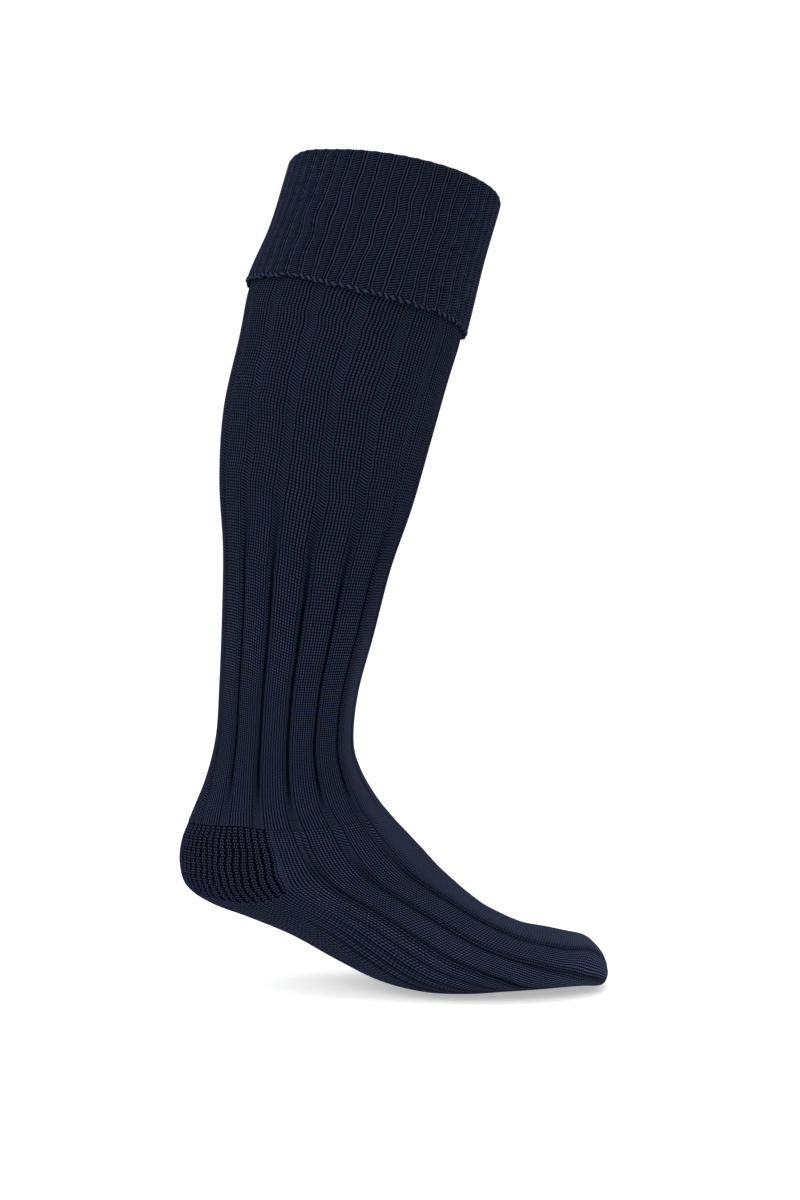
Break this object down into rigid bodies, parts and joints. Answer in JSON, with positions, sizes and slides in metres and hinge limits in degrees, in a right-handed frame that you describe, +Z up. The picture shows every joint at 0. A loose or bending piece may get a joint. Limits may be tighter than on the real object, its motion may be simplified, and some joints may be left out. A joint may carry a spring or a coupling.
{
  "type": "knee-high sock",
  "caption": "Knee-high knitted sock with wide ribs, a turned-over narrow-ribbed cuff, a ribbed heel pocket and a plain sole, kept in its worn form.",
  "frame": {"origin": "centre of the opening at the top of the leg, where the foot goes in", "axes": "+Z up with the foot standing level, +X towards the toe, +Y to the sock's left side"},
  "size_m": [0.2474, 0.1204, 0.4742],
  "materials": {
    "cuff_rib": "matte narrow rib knit",
    "wide_rib": "matte wide rib knit",
    "heel_rib": "matte deep fine rib knit",
    "plain_knit": "matte plain knit"
  },
  "bodies": {
    "root": {"turnover_cuff": "cuff_rib", "leg": "wide_rib", "heel_pocket": "heel_rib", "instep": "wide_rib", "sole": "plain_knit"}
  },
  "joints": []
}
